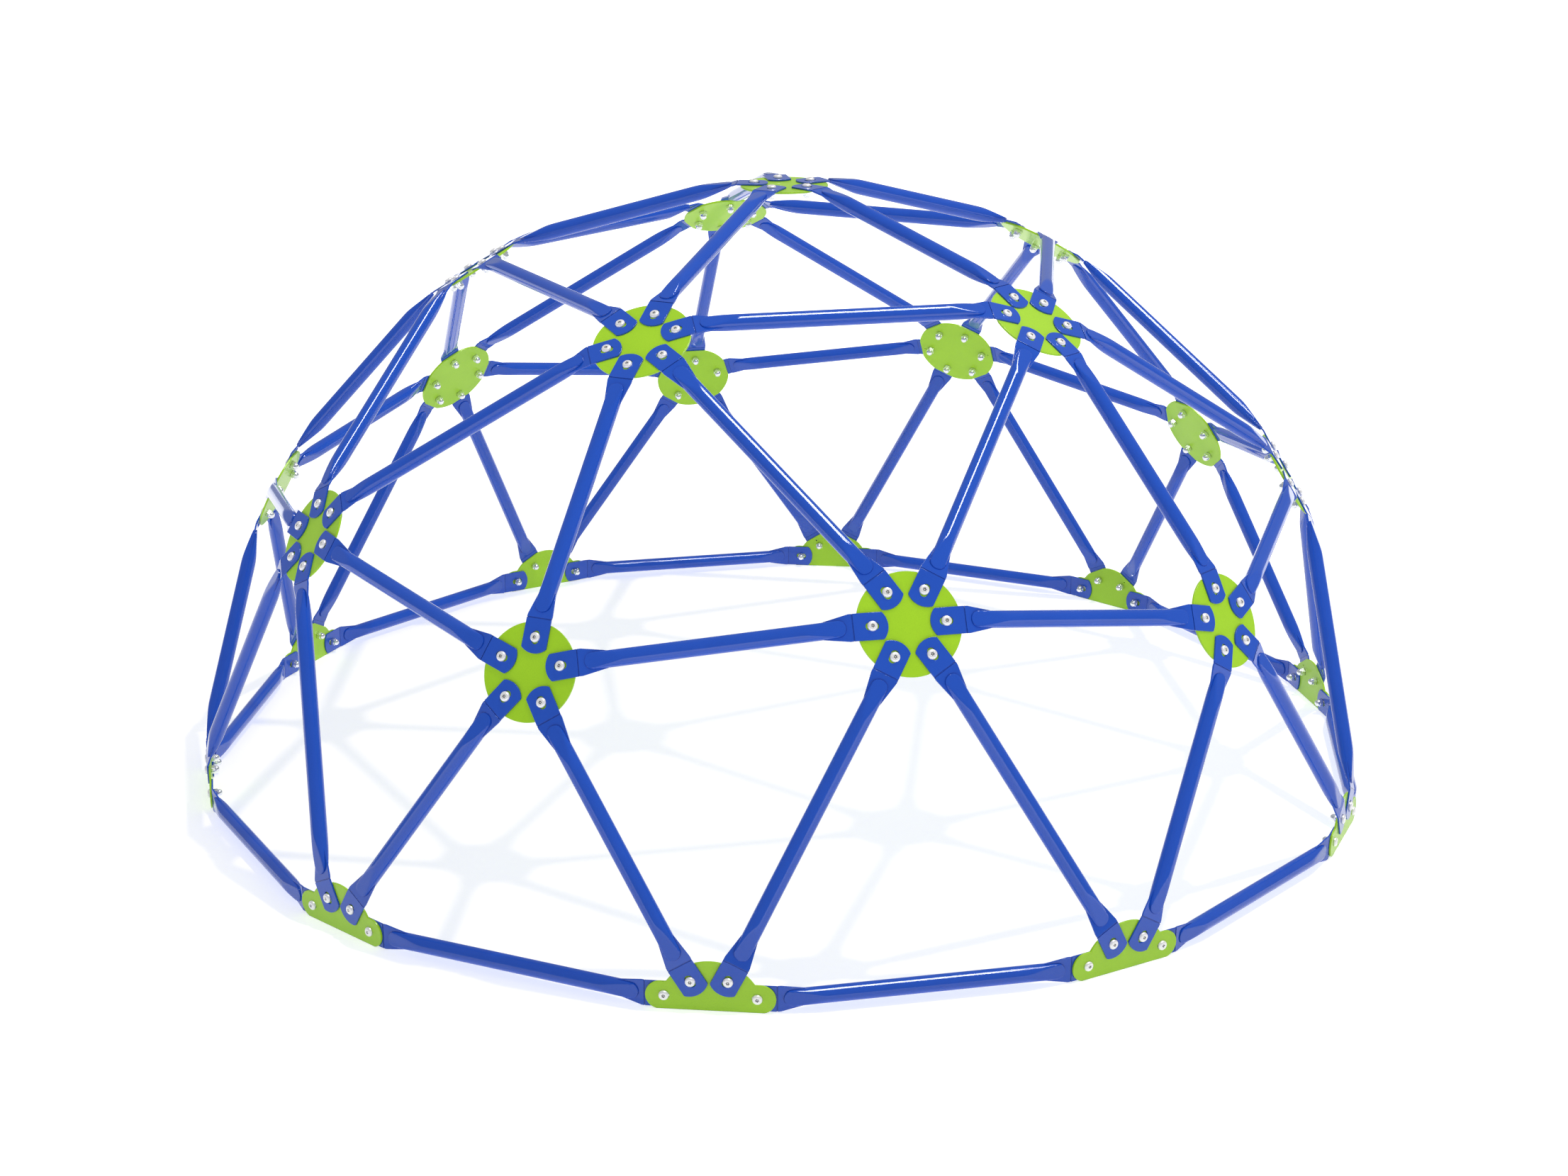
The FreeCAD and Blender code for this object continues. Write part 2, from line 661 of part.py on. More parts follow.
def add_plates(doc, hubs):
    """The 26 hub plates, one node each, and the places of their fasteners."""
    crown, upper, middle, base = hubs
    five = round_plate(doc, "FiveWayPlate", "Sizes.five_way_radius",
                       "Sizes.five_way_bolt_circle", 5, False)
    six = round_plate(doc, "SixWayPlate", "Sizes.six_way_radius",
                      "Sizes.six_way_bolt_circle", 6, True)
    foot = base_plate(doc, "BasePlate")
    five_spots = ring_spots(SIZES["five_way_bolt_circle"], 5)
    six_spots = ring_spots(SIZES["six_way_bolt_circle"], 6)
    round_plates = [("crown_plate", five, five_spots, crown, upper[0])]
    for number, hub in enumerate(upper, start=1):
        round_plates.append((f"upper_plate_{number}", six, six_spots, hub, crown))
    for number, hub in enumerate(middle, start=1):
        design, spots = (five, five_spots) if number % 2 else (six, six_spots)
        towards = upper[number // 2] if number % 2 else middle[number % len(middle)]
        round_plates.append((f"middle_plate_{number}", design, spots, hub, towards))
    nodes = []
    places = []
    for name, design, spots, hub, towards in round_plates:
        frame = plate_frame(hub, towards)
        nodes.append(add_node(doc, name, design, [frame]))
        places += fastener_places(frame, spots, True)
    for number, hub in enumerate(base, start=1):
        side = -1 if number % 2 else 1
        nodes.append(add_node(doc, f"base_plate_{number}", foot, [base_frame(hub, side)]))
        places += base_fasteners(hub, side)
    return nodes, places


def base_frame(hub, side):
    """A base plate's place. Side is 1 where the short leg goes up anticlockwise of the plate, as
    seen from above, and -1 where the same plate is turned round to face the other way."""
    up = Vector(0, 0, 1)
    across = up.cross(hub) * side
    return framed(hub * plate_radius(), across, across.cross(up))


def base_fasteners(hub, side):
    """Two fasteners for the legs, over the plate, and two for the base ring, behind it."""
    fan = SIZES["six_way_fan_angle"]
    legs = spots_at(SIZES["six_way_bolt_circle"], (fan, fan + 360 / 6))
    legs = [Vector(spot.x * side, spot.y, 0) for spot in legs]
    feet = [Vector(SIZES["base_bolt_offset"] * way, SIZES["base_bolt_height"], 0)
            for way in (1, -1)]
    frame = base_frame(hub, 1)
    return fastener_places(frame, legs, True) + fastener_places(frame, feet, False)


def add_struts(doc, hubs):
    """The 65 struts. Those above the middle ring are a node each, or a node for each pair."""
    crown, upper, middle, base = hubs
    five = "(Sizes.five_way_bolt_circle + Sizes.crease_to_bolt)"
    six = "(Sizes.six_way_bolt_circle + Sizes.crease_to_bolt)"
    foot = "(Sizes.base_bolt_offset + Sizes.crease_to_bolt)"
    sphere = "Sizes.tab_sphere_radius"
    inner = f"({sphere} - Sizes.flat_thickness - Sizes.plate_thickness)"
    short = strut(doc, "ShortStrut", "Sizes.short_arc", five, six, sphere)
    long = strut(doc, "LongStrut", "Sizes.long_arc", six, six, sphere)
    ring = strut(doc, "BaseStrut", "Sizes.long_arc", foot, foot, inner)
    sizes = doc.getObject("Sizes")
    five_reach, six_reach, foot_reach = [evaluate(sizes, reach) for reach in (five, six, foot)]
    radius, inner_radius = evaluate(sizes, sphere), evaluate(sizes, inner)

    def short_place(five_hub, other_hub):
        return strut_placement(five_hub, other_hub, radius, five_reach, six_reach)

    def long_place(start, end):
        return strut_placement(start, end, radius, six_reach, six_reach)

    nodes = []
    middle_ring = []
    base_ring = []
    for k in range(5):
        number = k + 1
        corner, after, before = 2 * k, 2 * k + 1, 2 * k - 1
        nodes += [
            add_node(doc, f"crown_strut_{number}", short, [short_place(crown, upper[k])]),
            add_node(doc, f"upper_ring_strut_{number}", long,
                     [long_place(upper[k], upper[(k + 1) % 5])]),
            add_node(doc, f"upper_drop_strut_{number}", short,
                     [short_place(middle[corner], upper[k])]),
            add_node(doc, f"upper_side_struts_{number}", long,
                     [long_place(upper[k], middle[i]) for i in (before, after)]),
            add_node(doc, f"short_legs_{number}", short,
                     [short_place(middle[corner], base[i]) for i in (before, corner)]),
            add_node(doc, f"long_legs_{number}", long,
                     [long_place(middle[after], base[i]) for i in (corner, after)]),
        ]
        middle_ring += [short_place(middle[corner], middle[i]) for i in (before, after)]
    for number, hub in enumerate(base, start=1):
        base_ring.append(strut_placement(hub, base[number % len(base)], inner_radius,
                                         foot_reach, foot_reach, SIZES["base_bolt_height"]))
    nodes.append(add_node(doc, "middle_ring_struts", short, middle_ring))
    nodes.append(add_node(doc, "base_ring_struts", ring, base_ring))
    return nodes


def check(doc, nodes):
    """Stops with a message if any object of the document failed."""
    for item in doc.Objects:
        if "Invalid" in item.State or "Error" in item.State:
            raise RuntimeError(f"{item.Label} failed: {item.State}")
    for node in nodes:
        shape = Part.getShape(node)
        if shape.isNull() or not shape.isValid():
            raise RuntimeError(f"{node.Label} has no valid shape")


def main():
    os.makedirs("parts", exist_ok=True)
    doc = FreeCAD.newDocument("DomeClimber")
    fill_sheet(doc)
    hubs = hub_directions()
    nodes, places = add_plates(doc, hubs)
    nodes += add_struts(doc, hubs)
    bolt = button_bolt(doc, "Bolt")
    nut = cap_nut(doc, "Nut")
    nodes.append(add_node(doc, "bolts", bolt, [place[0] for place in places]))
    nodes.append(add_node(doc, "nuts", nut, [place[1] for place in places]))
    doc.recompute()
    check(doc, nodes)
    for node in nodes:
        Part.getShape(node).exportStep(f"parts/{node.Label}.step")


main()
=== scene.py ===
import math

import bpy
from mathutils import Matrix, Vector


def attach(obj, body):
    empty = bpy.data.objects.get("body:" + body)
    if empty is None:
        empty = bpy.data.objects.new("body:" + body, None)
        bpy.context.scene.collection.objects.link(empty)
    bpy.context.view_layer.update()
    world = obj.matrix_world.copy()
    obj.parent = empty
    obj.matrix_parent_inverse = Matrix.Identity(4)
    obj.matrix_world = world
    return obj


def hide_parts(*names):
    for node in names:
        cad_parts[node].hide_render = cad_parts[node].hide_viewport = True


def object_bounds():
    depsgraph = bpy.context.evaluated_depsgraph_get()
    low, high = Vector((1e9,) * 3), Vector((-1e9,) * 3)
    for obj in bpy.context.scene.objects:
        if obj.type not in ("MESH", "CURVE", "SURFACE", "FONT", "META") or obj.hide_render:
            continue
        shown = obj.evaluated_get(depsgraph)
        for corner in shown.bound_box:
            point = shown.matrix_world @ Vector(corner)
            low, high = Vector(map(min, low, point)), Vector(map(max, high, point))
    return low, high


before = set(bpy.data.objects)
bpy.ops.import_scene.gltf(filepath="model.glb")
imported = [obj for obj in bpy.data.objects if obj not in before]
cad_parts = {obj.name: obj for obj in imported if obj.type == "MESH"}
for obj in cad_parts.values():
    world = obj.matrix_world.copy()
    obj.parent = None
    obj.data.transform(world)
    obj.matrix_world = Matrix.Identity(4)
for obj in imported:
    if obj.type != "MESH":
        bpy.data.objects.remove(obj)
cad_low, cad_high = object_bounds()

# Dome climber, in metres, in the frame of the CAD model: +Z up, the origin on the ground under
# the crown, -Y the front. Every visible piece is built here and rides on the one rigid body.

MM = 0.001

# Struts: a round tube, flattened at both ends into a web, a crease and a bolted tab.
TUBE_RADIUS = 19.05 * MM
FLAT_HALF = 2.1 * MM
FLAT_HALF_WIDTH = 30 * MM
CREASE_TO_BOLT = 42 * MM
CREASE_TO_TIP = 77 * MM
TIP_ARC_RADIUS = 44 * MM
TIP_CORNER_RADIUS = 4 * MM
SLOT_LENGTH = 30 * MM
SLOT_WIDTH = 17.4 * MM
TAPER_START = 8 * MM
WEB_END = 80 * MM
WEB_END_HALF_WIDTH = 16.4 * MM
BULGE_START = 14 * MM
BULGE_START_HEIGHT = 4.5 * MM
BULGE_FULL = 95 * MM
CREASE_GAP = 0.85 * MM
CREASE_DEPTH = 1.7 * MM

# Plates: the straight edge under each tab is as wide as the tab.
PLATE_HALF = 2.5 * MM
FIVE_RADIUS = 110 * MM
FIVE_CIRCLE = 75.5 * MM
SIX_RADIUS = 116 * MM
SIX_CIRCLE = 81.5 * MM
HOLE_RADIUS = 6.5 * MM
INDEX_RADIUS = 2.25 * MM
INDEX_CIRCLE = 100 * MM
BASE_BOLT = (101 * MM, 32.5 * MM)
BASE_SLOT = (99.5 * MM, 21 * MM, 17 * MM)
BASE_LOBE = (108.5 * MM, 32 * MM, 33 * MM)
EDGE_ROUND = 0.8 * MM

# Fasteners.
HEAD_RADIUS = 11.25 * MM
HEAD_HEIGHT = 6.5 * MM
HEAD_TOP_RADIUS = 5.6 * MM
RECESS_RADIUS = 3.7 * MM
RECESS_LOBE = 0.85 * MM
RECESS_DEPTH = 3.4 * MM
PIN_RADIUS = 1.35 * MM
PIN_BELOW_TOP = 1.1 * MM
HEAD_RIM = 1.3 * MM
SHANK_RADIUS = 6 * MM
SHANK_LENGTH = 12 * MM
FASTENER_SPIN = 0.9  # radians from each bolt or nut of a plate to the next
NUT_HALF_FLATS = 9.5 * MM
NUT_HEX = 10 * MM
NUT_HEIGHT = 22 * MM
NUT_BASE_CHAMFER = 0.5 * MM
NUT_TOP_CHAMFER = 0.7 * MM
NUT_DOME_RADIUS = 9 * MM

# How finely curves are cut up, and small roundings.
CORNER_STEPS = 8
TIP_STEPS = 24
SLOT_STEPS = 12
RIM_STEPS = 10
LOBE_STEPS = 20
HOLE_STEPS = 24
INDEX_STEPS = 16
TUBE_STEPS = 64
FASTENER_STEPS = 48
DOME_STEPS = 10
TAB_ROUND = 0.6 * MM
TUBE_SHARPNESS = 18  # how tightly the tube's section turns from one limit to the next

# Distances from the centre, from the frame: the crown bolts' heads are the highest thing.
TAB_SPHERE = cad_high.z - HEAD_HEIGHT - FLAT_HALF
PLATE_SPHERE = TAB_SPHERE - FLAT_HALF - PLATE_HALF
BASE_TAB_SPHERE = PLATE_SPHERE - FLAT_HALF - PLATE_HALF
LONG_ARC = math.radians(36)
VERTEX_POLAR = math.atan(2)
SHORT_ARC = VERTEX_POLAR / 2

# The camera: its place in multiples of the tab sphere's radius, its angles in degrees, and its
# lens and sensor in millimetres.
CAMERA_PLACE = (-0.8898, -4.1834, 1.7671)
LOOKS_DOWN = 19.03
HEADING = -12.008
FOCAL_LENGTH = 59.57
SENSOR_WIDTH = 36

# Lamps hang this high, in metres.
LAMP_HEIGHT = 13


# ---------------------------------------------------------------- hubs

def direction(polar, azimuth):
    level = math.sin(polar)
    return Vector((level * math.cos(azimuth), level * math.sin(azimuth), math.cos(polar)))


def hub_directions():
    """Directions of the hubs from the centre: crown, upper, middle and base. Middle hubs are
    five-way and six-way by turns, five-way first."""
    sector = math.tau / 5
    first = -math.pi / 2 - sector / 2
    upper = [direction(SHORT_ARC, first + sector * k) for k in range(5)]
    corners = [direction(VERTEX_POLAR, first + sector * k) for k in range(5)]
    middle = []
    for k in range(5):
        middle += [corners[k], (corners[k] + corners[(k + 1) % 5]).normalized()]
    base = [direction(math.pi / 2, first + sector / 4 + sector / 2 * k) for k in range(10)]
    return Vector((0, 0, 1)), upper, middle, base


CROWN, UPPER, MIDDLE, BASE = hub_directions()
FAN_ANGLE = math.acos(math.tan(LONG_ARC / 2) / math.tan(SHORT_ARC))


def tangent(hub, towards):
    return (towards - hub * towards.dot(hub)).normalized()


def framed(origin, across, outward):
    """A matrix whose X axis is across and whose Z axis is outward."""
    axes = Matrix((across, outward.cross(across), outward)).transposed()
    return Matrix.Translation(origin) @ axes.to_4x4()


# ---------------------------------------------------------------- mesh building

def loft(rings, close_start=True, close_end=True):
    """Vertices and faces of a skin over rings of points, all with the same number of points."""
    count = len(rings[0])
    points = [point for ring in rings for point in ring]
    faces = []
    for row in range(len(rings) - 1):
        for column in range(count):
            after = (column + 1) % count
            faces.append((row * count + column, row * count + after,
                          (row + 1) * count + after, (row + 1) * count + column))
    if close_start:
        faces.append(tuple(reversed(range(count))))
    if close_end:
        faces.append(tuple(range((len(rings) - 1) * count, len(rings) * count)))
    return points, faces


def arc(centre, radius, start, end, steps):
    """Points along an arc in a plane, angles in radians, both ends included."""
    return [(centre[0] + radius * math.cos(start + (end - start) * k / steps),
             centre[1] + radius * math.sin(start + (end - start) * k / steps))
            for k in range(steps + 1)]


def flat_shape(outline, holes, half_thickness, rounding):
    """Vertices and faces of a flat part with rounded edges, its middle plane at z = 0."""
    curve = bpy.data.curves.new("outline", "CURVE")
    curve.dimensions = "2D"
    curve.fill_mode = "BOTH"
    for loop in [outline, *holes]:
        spline = curve.splines.new("POLY")
        spline.points.add(len(loop) - 1)
        for point, (across, up) in zip(spline.points, loop):
            point.co = (across, up, 0, 1)
        spline.use_cyclic_u = True
    curve.extrude = half_thickness - rounding
    curve.bevel_depth = rounding
    curve.bevel_resolution = 2
    curve.offset = -rounding
    holder = bpy.data.objects.new("outline", curve)
    mesh = bpy.data.meshes.new_from_object(holder)
    points = [vertex.co.copy() for vertex in mesh.vertices]
    faces = [tuple(polygon.vertices) for polygon in mesh.polygons]
    bpy.data.objects.remove(holder)
    bpy.data.curves.remove(curve)
    bpy.data.meshes.remove(mesh)
    return points, faces


def moved(shape, matrix):
    return [matrix @ Vector(point) for point in shape[0]], shape[1]


def mesh_of(name, shapes, sharp=35):
    """One mesh of several shapes, smooth except where faces meet at a sharp angle."""
    points, faces = [], []
    for shape_points, shape_faces in shapes:
        offset = len(points)
        points += [tuple(point) for point in shape_points]
        faces += [tuple(index + offset for index in face) for face in shape_faces]
    mesh = bpy.data.meshes.new(name)
    mesh.from_pydata(points, [], faces)
    mesh.validate()
    mesh.shade_smooth()
    mesh.set_sharp_from_angle(angle=math.radians(sharp))
    return mesh


# ---------------------------------------------------------------- struts

def stadium(left, right, radius):
    """A slot's outline."""
    half = math.pi / 2
    right_end = arc((right, 0), radius, -half, half, SLOT_STEPS)
    return right_end + arc((left, 0), radius, half, 3 * half, SLOT_STEPS)


def tab_shape():
    """The bolted tab, along -X from the crease, with a slot and a shallow-arced tip."""
    centre = -(CREASE_TO_TIP - TIP_ARC_RADIUS)
    inner_radius = TIP_ARC_RADIUS - TIP_CORNER_RADIUS
    corner_y = FLAT_HALF_WIDTH - TIP_CORNER_RADIUS
    corner_x = centre - math.sqrt(inner_radius ** 2 - corner_y ** 2)
    swing = math.asin(corner_y / inner_radius)
    outline = [(-CREASE_GAP, FLAT_HALF_WIDTH)]
    outline += arc((corner_x, corner_y), TIP_CORNER_RADIUS, math.pi / 2, math.pi - swing,
                   CORNER_STEPS)
    outline += arc((centre, 0), TIP_ARC_RADIUS, math.pi - swing, math.pi + swing,
                   TIP_STEPS)[1:-1]
    outline += arc((corner_x, -corner_y), TIP_CORNER_RADIUS, math.pi + swing, 3 * math.pi / 2,
                   CORNER_STEPS)
    outline += [(-CREASE_GAP, -FLAT_HALF_WIDTH)]
    reach = (SLOT_LENGTH - SLOT_WIDTH) / 2
    hole = stadium(-CREASE_TO_BOLT - reach, -CREASE_TO_BOLT + reach, SLOT_WIDTH / 2)
    return flat_shape(outline, [hole], FLAT_HALF, TAB_ROUND)


def web_shape():
    """The flat web, along +X from the crease, which narrows towards the tube."""
    outline = [(CREASE_GAP, -FLAT_HALF_WIDTH), (TAPER_START, -FLAT_HALF_WIDTH),
               (WEB_END, -WEB_END_HALF_WIDTH), (WEB_END, WEB_END_HALF_WIDTH),
               (TAPER_START, FLAT_HALF_WIDTH), (CREASE_GAP, FLAT_HALF_WIDTH)]
    return flat_shape(outline, [], FLAT_HALF, TAB_ROUND)


def crease_shape():
    """The metal at the bottom of the groove that the fold leaves between the tab and the web."""
    reach = 2 * MM
    inset = 0.5 * MM
    low, high = -FLAT_HALF + inset, FLAT_HALF - CREASE_DEPTH
    rings = []
    for side in (-1, 1):
        across = side * (FLAT_HALF_WIDTH - inset)
        rings.append([Vector((-reach, across, low)), Vector((reach, across, low)),
                      Vector((reach, across, high)), Vector((-reach, across, high))])
    return loft(rings[::-1])


def bulge_ring(along, depth):
    """A section of the tube at a depth from its rounded end: the round tube, pressed flat above
    and below by the ramps and rounded off in plan. Softened where these meet."""
    slope = (TUBE_RADIUS - BULGE_START_HEIGHT) / (BULGE_FULL - BULGE_START)
    ramp = BULGE_START_HEIGHT + slope * depth
    to_centre = max(TUBE_RADIUS - depth, 0)
    plan = math.sqrt(TUBE_RADIUS ** 2 - to_centre ** 2) if to_centre else None
    narrowest = 0.2 * MM
    ring = []
    for k in range(TUBE_STEPS):
        angle = math.tau * (k + 0.5) / TUBE_STEPS
        across, up = math.cos(angle), math.sin(angle)
        limits = [1 / TUBE_RADIUS, abs(up) / ramp]
        if plan is not None:
            limits.append(abs(across) / max(plan, narrowest))
        size = sum(limit ** TUBE_SHARPNESS for limit in limits) ** (-1 / TUBE_SHARPNESS)
        ring.append(Vector((along, size * across, size * up)))
    return ring


def tube_shape(length):
    """The tube between its two rounded ends, along X, its middle at the origin."""
    end = length / 2 - BULGE_START
    nose, ramp, half = 12, 16, 8
    depths = [TUBE_RADIUS * (1 - math.cos(math.pi / 2 * k / nose)) for k in range(nose + 1)]
    depths += [TUBE_RADIUS + (BULGE_FULL - TUBE_RADIUS) * k / ramp for k in range(1, ramp + 1)]
    depths += [BULGE_FULL + (end - BULGE_FULL) * k / half for k in range(1, half)]
    rings = [bulge_ring(-end + depth, depth) for depth in depths]
    rings += [bulge_ring(end - depth, depth) for depth in reversed(depths)]
    return loft(rings)


def strut_mesh(name, span, start_reach, end_reach, sphere):
    """A strut design, its axis along X through the middle of its length, +Z facing out."""
    advance = sphere * math.sin(span) - end_reach * math.cos(span) - start_reach
    drop = sphere * (1 - math.cos(span)) - end_reach * math.sin(span)
    length = math.hypot(advance, drop)
    start_bend = math.atan2(drop, advance)
    turned = Matrix.Rotation(math.pi, 4, "Z")
    at_end = Matrix.Translation((length / 2, 0, 0)) @ turned
    at_start = Matrix.Translation((-length / 2, 0, 0))
    shapes = [tube_shape(length)]
    for place, bend in ((at_start, start_bend), (at_end, span - start_bend)):
        shapes.append(moved(web_shape(), place))
        shapes.append(moved(crease_shape(), place @ Matrix.Rotation(-bend / 2, 4, "Y")))
        shapes.append(moved(tab_shape(), place @ Matrix.Rotation(-bend, 4, "Y")))
    return mesh_of(name, shapes)


def strut_place(start, end, start_reach, end_reach, sphere=TAB_SPHERE, height=0):
    first = start * sphere + tangent(start, end) * start_reach
    last = end * sphere + tangent(end, start) * end_reach
    along = (last - first).normalized()
    outward = along.cross(start.cross(end).normalized())
    return framed((first + last) / 2 + Vector((0, 0, height)), along, outward)


# ---------------------------------------------------------------- plates

def seat_chord(radius, centre_angle):
    """The two ends of the straight edge under a tab, as angles round the plate."""
    half = math.asin(FLAT_HALF_WIDTH / radius)
    return centre_angle - half, centre_angle + half


def round_hole(centre, radius, steps):
    return arc(centre, radius, 0, math.tau, steps)[:-1]


def round_plate_mesh(name, ways, radius, circle, index_angles):
    outline = []
    for k in range(ways):
        here = seat_chord(radius, math.tau * k / ways)[1]
        there = seat_chord(radius, math.tau * (k + 1) / ways)[0]
        outline += arc((0, 0), radius, here, there, RIM_STEPS)
    holes = []
    for k in range(ways):
        angle = math.tau * k / ways
        centre = (circle * math.cos(angle), circle * math.sin(angle))
        holes.append(round_hole(centre, HOLE_RADIUS, HOLE_STEPS))
    for angle in index_angles:
        centre = (INDEX_CIRCLE * math.cos(angle), INDEX_CIRCLE * math.sin(angle))
        holes.append(round_hole(centre, INDEX_RADIUS, INDEX_STEPS))
    return mesh_of(name, [flat_shape(outline, holes, PLATE_HALF, EDGE_ROUND)])


def base_plate_mesh(name):
    """Half a round plate over a rounded bar; +Y is up and the short leg goes up on the +X side."""
    lobe_x, lobe_y, lobe_radius = BASE_LOBE
    top = lobe_y + lobe_radius
    under = math.asin(lobe_y / lobe_radius)
    shoulder = math.asin(top / SIX_RADIUS)
    seats = [seat_chord(SIX_RADIUS, FAN_ANGLE + turn) for turn in (0, math.pi / 3)]
    shoulder_steps = 4
    outline = arc((lobe_x, lobe_y), lobe_radius, -under, math.pi / 2, LOBE_STEPS)
    outline += arc((0, 0), SIX_RADIUS, shoulder, seats[0][0], shoulder_steps)
    outline += arc((0, 0), SIX_RADIUS, seats[0][1], seats[1][0], RIM_STEPS)
    outline += arc((0, 0), SIX_RADIUS, seats[1][1], math.pi - shoulder, shoulder_steps)
    outline += arc((-lobe_x, lobe_y), lobe_radius, math.pi / 2, math.pi + under, LOBE_STEPS)
    holes = []
    for turn in (0, math.pi / 3):
        angle = FAN_ANGLE + turn
        centre = (SIX_CIRCLE * math.cos(angle), SIX_CIRCLE * math.sin(angle))
        holes.append(round_hole(centre, HOLE_RADIUS, HOLE_STEPS))
    centre = (INDEX_CIRCLE * math.cos(FAN_ANGLE), INDEX_CIRCLE * math.sin(FAN_ANGLE))
    holes.append(round_hole(centre, INDEX_RADIUS, INDEX_STEPS))
    slot_x, slot_length, slot_width = BASE_SLOT
    reach = (slot_length - slot_width) / 2
    for side in (1, -1):
        loop = stadium(side * slot_x - reach, side * slot_x + reach, slot_width / 2)
        holes.append([(across, up + BASE_BOLT[1]) for across, up in loop])
    return mesh_of(name, [flat_shape(outline, holes, PLATE_HALF, EDGE_ROUND)])


# ---------------------------------------------------------------- fasteners

def round_ring(radius, height, wave=None):
    """A level ring of points; wave gives the radius at an angle where it isn't a plain circle."""
    ring = []
    for k in range(FASTENER_STEPS):
        angle = math.tau * k / FASTENER_STEPS
        size = wave(angle) if wave else radius
        ring.append(Vector((size * math.cos(angle), size * math.sin(angle), height)))
    return ring


def bolt_shape():
    """A button head with a six-lobed recess round a pin, and the part of the shank that shows."""
    def lobed(grow):
        return lambda angle: RECESS_RADIUS + grow + RECESS_LOBE * math.cos(6 * angle)

    floor = HEAD_HEIGHT - RECESS_DEPTH
    pin_top = HEAD_HEIGHT - PIN_BELOW_TOP
    soft = 0.25 * MM
    rings = [round_ring(soft, pin_top), round_ring(PIN_RADIUS - soft, pin_top),
             round_ring(PIN_RADIUS, pin_top - soft), round_ring(PIN_RADIUS, floor),
             round_ring(0, floor, wave=lobed(-soft)),
             round_ring(0, HEAD_HEIGHT - soft, wave=lobed(0)),
             round_ring(0, HEAD_HEIGHT, wave=lobed(soft)),
             round_ring(HEAD_TOP_RADIUS, HEAD_HEIGHT)]
    for k in range(1, DOME_STEPS + 1):
        angle = math.pi / 2 * k / DOME_STEPS
        radius = HEAD_TOP_RADIUS + (HEAD_RADIUS - HEAD_TOP_RADIUS) * math.sin(angle)
        rings.append(round_ring(radius, HEAD_RIM + (HEAD_HEIGHT - HEAD_RIM) * math.cos(angle)))
    rings += [round_ring(HEAD_RADIUS, soft), round_ring(HEAD_RADIUS - soft, 0),
              round_ring(SHANK_RADIUS, 0), round_ring(SHANK_RADIUS, -SHANK_LENGTH)]
    return loft([ring[::-1] for ring in rings])


def nut_shape():
    """A cap nut that bears at z = 0: a hexagon with turned-off corners under a dome."""
    corner = NUT_HALF_FLATS / math.cos(math.pi / 6)

    def hexagon(turned):
        def wave(angle):
            off = (angle + math.pi / 6) % (math.pi / 3) - math.pi / 6
            return min(NUT_HALF_FLATS / math.cos(off), turned)
        return wave

    rings = [round_ring(0, 0, wave=hexagon(NUT_HALF_FLATS)),
             round_ring(0, NUT_BASE_CHAMFER, wave=hexagon(corner))]
    steps = 4
    for k in range(steps + 1):
        drop = NUT_TOP_CHAMFER * (1 - k / steps)
        turned = corner - (corner - NUT_HALF_FLATS) * k / steps
        rings.append(round_ring(0, NUT_HEX - drop, wave=hexagon(turned)))
    spring = NUT_HEIGHT - NUT_DOME_RADIUS
    rings += [round_ring(NUT_DOME_RADIUS, NUT_HEX), round_ring(NUT_DOME_RADIUS, spring)]
    for k in range(1, DOME_STEPS):
        angle = math.pi / 2 * k / DOME_STEPS
        rings.append(round_ring(NUT_DOME_RADIUS * math.cos(angle),
                                spring + NUT_DOME_RADIUS * math.sin(angle)))
    return loft(rings)


def fastener_mesh(name, make_shape, outer, spots, tabs_outside):
    """Copies of a bolt, on a plate's outer side, or of a nut, on its inner side. Each spot is
    (across, up) on the plate, with whether the strut's tab lies on the plate's outer face."""
    shape = make_shape()
    shapes = []
    for number, ((across, up), tab_outside) in enumerate(zip(spots, tabs_outside)):
        over_tab = tab_outside == outer
        height = PLATE_HALF + (2 * FLAT_HALF if over_tab else 0)
        spin = Matrix.Rotation(FASTENER_SPIN * number, 4, "Z")
        facing = Matrix.Identity(4) if outer else Matrix.Rotation(math.pi, 4, "X")
        place = Matrix.Translation((across, up, height if outer else -height))
        shapes.append(moved(shape, place @ facing @ spin))
    return mesh_of(name, shapes, sharp=40)


def circle_spots(circle, ways):
    return [(circle * math.cos(math.tau * k / ways), circle * math.sin(math.tau * k / ways))
            for k in range(ways)]


def base_spots(side):
    """The two leg bolts and the two ring bolts of a base plate."""
    angles = (FAN_ANGLE, FAN_ANGLE + math.pi / 3)
    legs = [(side * SIX_CIRCLE * math.cos(a), SIX_CIRCLE * math.sin(a)) for a in angles]
    return legs + [(way * BASE_BOLT[0], BASE_BOLT[1]) for way in (1, -1)]


# ---------------------------------------------------------------- materials

